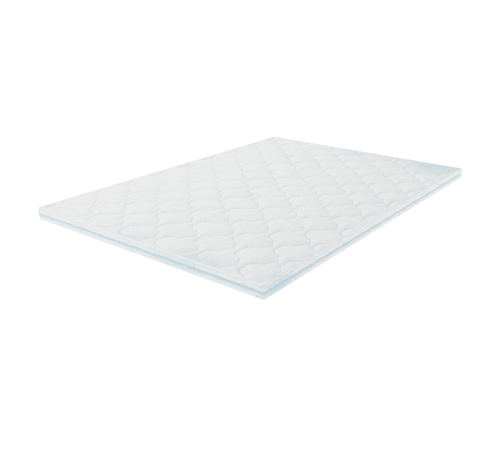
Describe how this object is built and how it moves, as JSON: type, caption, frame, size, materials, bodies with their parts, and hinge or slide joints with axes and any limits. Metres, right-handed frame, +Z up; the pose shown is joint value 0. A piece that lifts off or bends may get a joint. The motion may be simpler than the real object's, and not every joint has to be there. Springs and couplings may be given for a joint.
{
  "type": "quilted mattress topper",
  "caption": "Filled mattress topper with wavy quilting lines along its top, a quilted border with a contrast tape round its middle, and a rolled top edge.",
  "frame": {"origin": "middle of the underside, on the surface that the topper lies on", "axes": "+X across the bed, +Y along the bed, +Z up from the underside to the quilted top"},
  "size_m": [1.4022, 2.0022, 0.0658],
  "materials": {
    "quilted": "white knitted quilting cloth, matt",
    "border": "white knitted quilting cloth, matt",
    "tape": "light blue woven tape, slight sheen",
    "welt": "white knitted cloth over a rolled edge, matt"
  },
  "bodies": {
    "root": {"quilted_body": "quilted", "border_lower": "border", "border_upper": "border", "contrast_tape": "tape", "edge_welt": "welt"}
  },
  "joints": []
}
